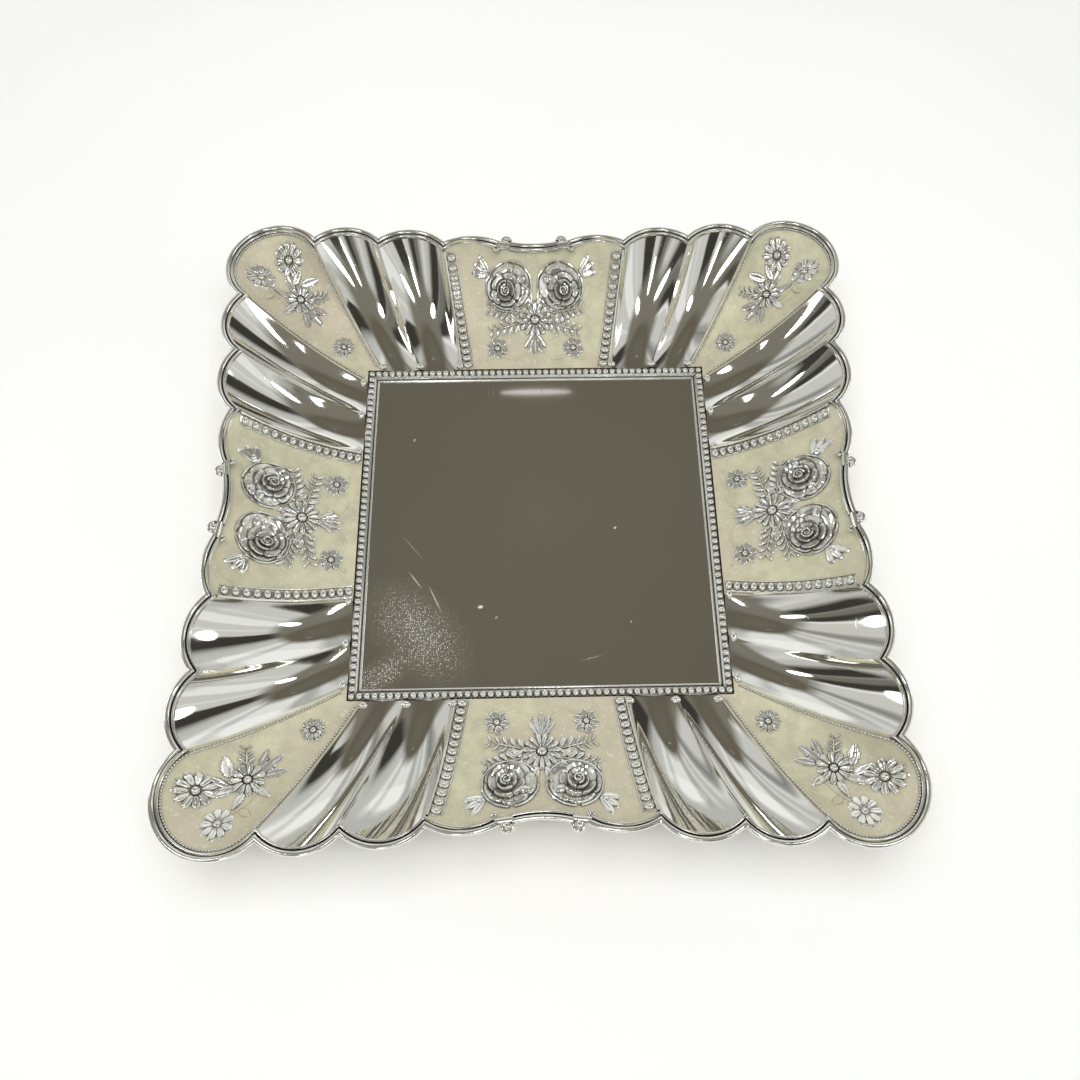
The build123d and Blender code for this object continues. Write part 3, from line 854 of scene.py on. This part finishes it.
def well_material():
    """Mirror polish with wiping hairlines, specks, and a scuffed patch in the front left corner."""
    material, shader = start_material("silver_well")
    hairlines = scratches(shader, 0.72)
    patch = shader.ramp(soft_spot(shader, -53, -51, -48, 34, 20), 0.0, 0.9)
    corner = soft_spot(shader, -68, -70, 38, 26, 9)
    rubbed = shader.math("MAXIMUM", patch, corner)
    specks = shader.math("MAXIMUM", speckle(shader, 640, 0.18, 1.0), speckle(shader, 1100, 0.26, 1.0))
    specks = shader.math("MULTIPLY", specks, rubbed)
    rubs = shader.math("MULTIPLY", shader.math("MULTIPLY", scratches(shader, 0.70), 0.15), patch)
    haze = shader.math("MULTIPLY", shader.math("POWER", rubbed, 1.5), 0.13)
    wear = shader.math("MAXIMUM", haze, shader.math("MAXIMUM", rubs, specks))
    for *spot, strength in WELL_MARKS:
        mark = shader.ramp(soft_spot(shader, *spot), 0.0, 0.6, 0.0, strength)
        wear = shader.math("MAXIMUM", wear, mark)
    cloud = shader.ramp(shader.noise(14, 3.0), 0.3, 0.7)
    colour = shader.blend(cloud, SILVER, CLOUDED_SILVER)
    colour = shader.blend(wear, colour, SCUFFED)
    bare = shader.ramp(wear, 0.0, 1.0, 1.0, 0.5)
    rough = shader.math("ADD", shader.ramp(cloud, 0, 1, 0.03, 0.05), shader.math("MULTIPLY", wear, 0.5))
    rough = shader.math("ADD", rough, shader.math("MULTIPLY", hairlines, 0.12))
    wave = shader.bump(shader.noise(9, 1.0), 0.05, 0.002)
    fine = shader.bump(hairlines, 0.12, 0.0001, wave)
    pits = shader.bump(wear, 0.4, 0.0002, fine)
    shader.feed(Base_Color=colour, Metallic=bare, Roughness=rough, Normal=pits)
    return material


def flute_material():
    """Mirror polish with a faint warm bloom, hairlines, and painted shade where it meets other pieces."""
    material, shader = start_material("silver_flutes")
    bloom = shader.ramp(shader.noise(45, 4.0), 0.45, 0.75, 0.0, 0.35)
    colour = shader.blend(bloom, SILVER, WARM_SILVER)
    # Painted shade: dark brown where the flutes meet other pieces, from occlusion
    crease_shade = shader.ramp(shader.crease_shade(0.003), 0.35, 0.8)
    colour = shader.blend(crease_shade, FLUTE_CREASE_SHADE, colour)
    hairlines = scratches(shader, 0.74)
    rough = shader.ramp(bloom, 0, 0.35, 0.05, 0.1)
    rough = shader.math("ADD", rough, shader.math("MULTIPLY", hairlines, 0.1))
    wave = shader.bump(shader.noise(60, 2.0), 0.10, 0.001)
    fine = shader.bump(hairlines, 0.08, 0.0001, wave)
    shader.feed(Base_Color=colour, Metallic=1.0, Roughness=rough, Normal=fine)
    return material


def trim_material(name, reach, roughness, dark, bare):
    """Silver trim with near-black painted shade in its creases, from occlusion; bare is how much of it is
    clean metal.
    """
    material, shader = start_material(name)
    # Painted shade: near black in the creases between rolls, beads and petals, from occlusion
    crease_shade = shader.ramp(shader.crease_shade(reach), dark, dark + 0.38)
    film = shader.ramp(shader.noise(160, 5.0), 0.42, 0.68, 0.0, 0.6)
    colour = shader.blend(film, TRIM_SILVER, TRIM_FILM)
    colour = shader.blend(crease_shade, TRIM_CREASE_SHADE, colour)
    rough = shader.ramp(film, 0, 0.6, roughness, roughness + 0.12)
    dents = shader.bump(shader.noise(700, 3.0), 0.12, 0.0003)
    shader.feed(Base_Color=colour, Metallic=bare, Roughness=rough, Normal=dents)
    return material


def satin_material():
    """Matte champagne ground: fine even grain, cloudy mottling, and painted shade in corners and creases,
    from occlusion.
    """
    material, shader = start_material("champagne_satin")
    mottle = shader.ramp(shader.noise(130, 7.0, roughness=0.68), 0.38, 0.62)
    colour = shader.blend(mottle, CHAMPAGNE, DEEP_CHAMPAGNE)
    rosy = shader.ramp(shader.noise(16, 2.0, turn=0.8), 0.44, 0.62, 0.0, 0.65)
    colour = shader.blend(rosy, colour, ROSY_CHAMPAGNE)
    flecks = shader.ramp(shader.noise(520, 4.0, roughness=0.7), 0.54, 0.68, 0.0, 0.6)
    colour = shader.blend(flecks, colour, PALE_FLECK)
    # Painted shade: dark olive in corners and beside the relief, from occlusion
    crease_shade = shader.ramp(shader.crease_shade(0.0025), 0.3, 0.85)
    colour = shader.blend(crease_shade, SATIN_CREASE_SHADE, colour)
    grain = shader.noise(2600, 2.0)
    rough = shader.ramp(grain, 0.3, 0.7, 0.36, 0.50)
    soft = shader.bump(shader.noise(240, 4.0), 0.35, 0.0006)
    fine = shader.bump(grain, 0.3, 0.0001, soft)
    shader.feed(Base_Color=colour, Metallic=0.35, Roughness=rough, Normal=fine)
    return material


def floor_material():
    material, shader = start_material("pale_floor")
    tone = shader.ramp(shader.noise(3, 2.0), 0.3, 0.7, 0.0, 1.0)
    colour = shader.blend(tone, (0.90, 0.90, 0.89, 1), (0.87, 0.87, 0.86, 1))
    shader.feed(Base_Color=colour, Roughness=0.8)
    return material


# Pieces

def add_piece(name, chunk, material, nodes, sharp=40):
    points, faces = chunk
    mesh = bpy.data.meshes.new(name)
    mesh.from_pydata((points * MM).tolist(), [], faces)
    mesh.polygons.foreach_set("use_smooth", [True] * len(mesh.polygons))
    mesh.set_sharp_from_angle(angle=math.radians(sharp))
    mesh.materials.append(material)
    piece = bpy.data.objects.new(name, mesh)
    bpy.context.scene.collection.objects.link(piece)
    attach(piece, "root")
    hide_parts(*nodes)


# The ornament of the left corners mirrors that of the right ones
HANDS = [False, True, True, False]


def add_round(prefix, names, chunk, first_turn, material, flips=None, sharp=40):
    for index, name in enumerate(names):
        flip = flips[index] if flips else False
        made = turned(chunk, 0, flip)
        made = turned(made, first_turn + 90 * index)
        add_piece(f"{prefix}_{name}_look", made, material, [f"{prefix}_{name}"], sharp)


well_silver = well_material()
flute_silver = flute_material()
rim_silver = trim_material("silver_rim", 0.0014, 0.07, 0.42, 0.88)
bead_silver = trim_material("silver_beads", 0.0016, 0.09, 0.50, 0.76)
relief_silver = trim_material("silver_relief", 0.0018, 0.07, 0.47, 0.80)
satin = satin_material()

well_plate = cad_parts["well_plate"]
for material_slot in well_plate.material_slots:
    material_slot.material = well_silver

panel = merge([shell(panel_grid(), SHEET)] + panel_tracery())
add_round("side_panel", SIDES, panel, 0, satin)
lobe = merge([shell(lobe_grid(), SHEET)] + lobe_tracery())
add_round("corner_lobe", CORNERS, lobe, -45, satin, HANDS)
add_round("well_beading", SIDES, well_beading_chunk(), 0, bead_silver)
add_round("rim_side", SIDES, rim_side_chunk(), 0, rim_silver, sharp=50)
add_round("rim_corner", CORNERS, rim_corner_chunk(), -45, rim_silver, sharp=50)
add_round("lobe_wire", CORNERS, lobe_wire_chunk(), -45, bead_silver)
add_round("rose_spray", SIDES, rose_spray_chunk(), 0, relief_silver)
add_piece("ridge_pearls_look", ridge_pearls_chunk(), bead_silver, ["ridge_pearls"])

for hand, flip in (("r", False), ("l", True)):
    names = [f"{side}_{hand}" for side in SIDES]
    flips = [flip] * len(SIDES)
    add_round("flute_inner", names, shell(flute_grid(0), SHEET), 0, flute_silver, flips)
    add_round("flute_outer", names, shell(flute_grid(1), SHEET), 0, flute_silver, flips)
    add_round("panel_beading", names, panel_beading_chunk(), 0, bead_silver, flips)

add_round("flower_spray", CORNERS, flower_spray_chunk(), -45, relief_silver, HANDS)


# Stage

BROWN_WALL = (0.0, 0.40, 0.917)     # direction of the brown wall that the flat well mirrors
WALL_MIDDLE = (0.152, 0.143, 0.110, 1)
WALL_EDGE = (0.130, 0.118, 0.088, 1)
DARK_BAY = (0.045, 0.042, 0.035, 1)
PALE_BAY = (0.82, 0.84, 0.81, 1)
GREY_STRIP = (0.34, 0.34, 0.30, 1)
NORTH_WALL = (0.78, 0.80, 0.77, 1)
CEILING = (0.20, 0.19, 0.155, 1)
HORIZON = (0.50, 0.51, 0.48, 1)

# Lamps seen in the polish: name, azimuth and elevation in degrees, distance, width, height, power
LAMPS = [
    ("window_right", 75, 24, 1.4, 0.45, 0.16, 0.6),
    ("window_left", -80, 22, 1.4, 0.5, 0.18, 0.8),
    ("window_back", 5, 18, 1.5, 1.2, 0.40, 0.15),
    ("window_front", 190, 26, 1.4, 0.16, 0.60, 0.7),
    ("skylight_front", 176, 60, 1.4, 0.14, 0.50, 0.8),
    ("skylight_left", -112, 58, 1.4, 0.20, 0.45, 1.1),
    ("skylight_right", 118, 60, 1.4, 0.20, 0.40, 1.0),
    ("ceiling_lamp", 0, 54.75, 1.52, 0.16, 0.011, 0.0028),
]


def add_floor():
    size, drop = 30.0, -0.0002    # metres; the drop keeps the floor clear of the plate's underside
    mesh = bpy.data.meshes.new("floor")
    corners = [(-size, -size, drop), (size, -size, drop), (size, size, drop), (-size, size, drop)]
    mesh.from_pydata(corners, [], [(0, 1, 2, 3)])
    mesh.materials.append(floor_material())
    floor = bpy.data.objects.new("floor", mesh)
    bpy.context.scene.collection.objects.link(floor)


def add_light(name, azimuth, elevation, distance, width, height, power, shape="ELLIPSE", in_gloss=True):
    """Soft lamp aimed at the salver from a compass azimuth and an elevation, in degrees."""
    light = bpy.data.lights.new(name, "AREA")
    light.shape = shape
    light.size, light.size_y = width, height
    light.energy = power
    lamp = bpy.data.objects.new(name, light)
    bpy.context.scene.collection.objects.link(lamp)
    turn, rise = math.radians(azimuth), math.radians(elevation)
    away = Vector((math.sin(turn) * math.cos(rise), math.cos(turn) * math.cos(rise), math.sin(rise)))
    lamp.location = away * distance
    lamp.rotation_euler = away.to_track_quat("Z", "Y").to_euler()
    lamp.visible_glossy = in_gloss


def add_world():
    """Room seen in the polish: brown wall high at the back, pale streaky surroundings elsewhere."""
    world = bpy.data.worlds.new("room")
    bpy.context.scene.world = world
    room = Shader(world, "Background", "Generated")
    direction = room.place
    split = room.node("ShaderNodeSeparateXYZ", {"Vector": direction})
    rise = split.outputs["Z"]
    flat = room.node("ShaderNodeVectorMath", {0: direction, 1: (1, 1, 0)}, operation="MULTIPLY").outputs[0]
    room.place = room.node("ShaderNodeVectorMath", {0: flat}, operation="NORMALIZE").outputs[0]
    bays = room.ramp(room.noise(1.7, 1.0), 0.44, 0.50)
    strips = room.ramp(room.noise(3.4, 0.0), 0.50, 0.56)
    walls = room.blend(bays, DARK_BAY, PALE_BAY)
    walls = room.blend(room.math("MULTIPLY", strips, 0.45), walls, GREY_STRIP)
    north = room.node("ShaderNodeSeparateXYZ", {"Vector": room.place}).outputs["Y"]
    curtains = room.ramp(room.noise(5.0, 0.0), 0.42, 0.60, 0.55, 1.0)
    bright = room.math("MULTIPLY", room.ramp(north, 0.62, 0.82), curtains)
    walls = room.blend(bright, walls, NORTH_WALL)
    ceiling = room.blend(room.ramp(rise, 0.72, 0.84), walls, CEILING)
    horizon = room.blend(room.ramp(rise, 0.10, 0.20), HORIZON, ceiling)
    brown = room.node("ShaderNodeVectorMath", {
        0: direction, 1: BROWN_WALL}, operation="DISTANCE").outputs["Value"]
    wall = room.blend(room.ramp(brown, 0.0, 0.34), WALL_MIDDLE, WALL_EDGE)
    colour = room.blend(room.ramp(brown, 0.36, 0.52), wall, horizon)
    room.feed(Color=colour, Strength=1.0)


def add_camera():
    """Hand-held view from the front, steeply down, with the picture's off-centre framing."""
    data = bpy.data.cameras.new("camera")
    data.sensor_width = 36.0
    data.lens = 27.82
    data.shift_x = -0.0110
    data.shift_y = 0.0321
    camera = bpy.data.objects.new("camera", data)
    bpy.context.scene.collection.objects.link(camera)
    camera.location = Vector((0.0, -157.5, 348.4 + WELL_Z)) * MM
    camera.rotation_euler = Euler([math.radians(angle) for angle in (20.78, -0.49, -1.19)], "XYZ")
    bpy.context.scene.camera = camera


add_floor()
add_world()
add_camera()
add_light("key_over", 0, 88, 1.3, 1.2, 1.2, 14.5, "RECTANGLE", in_gloss=False)
for lamp in LAMPS:
    add_light(*lamp)
bpy.context.scene.view_settings.view_transform = "Standard"
bpy.context.scene.view_settings.look = "None"
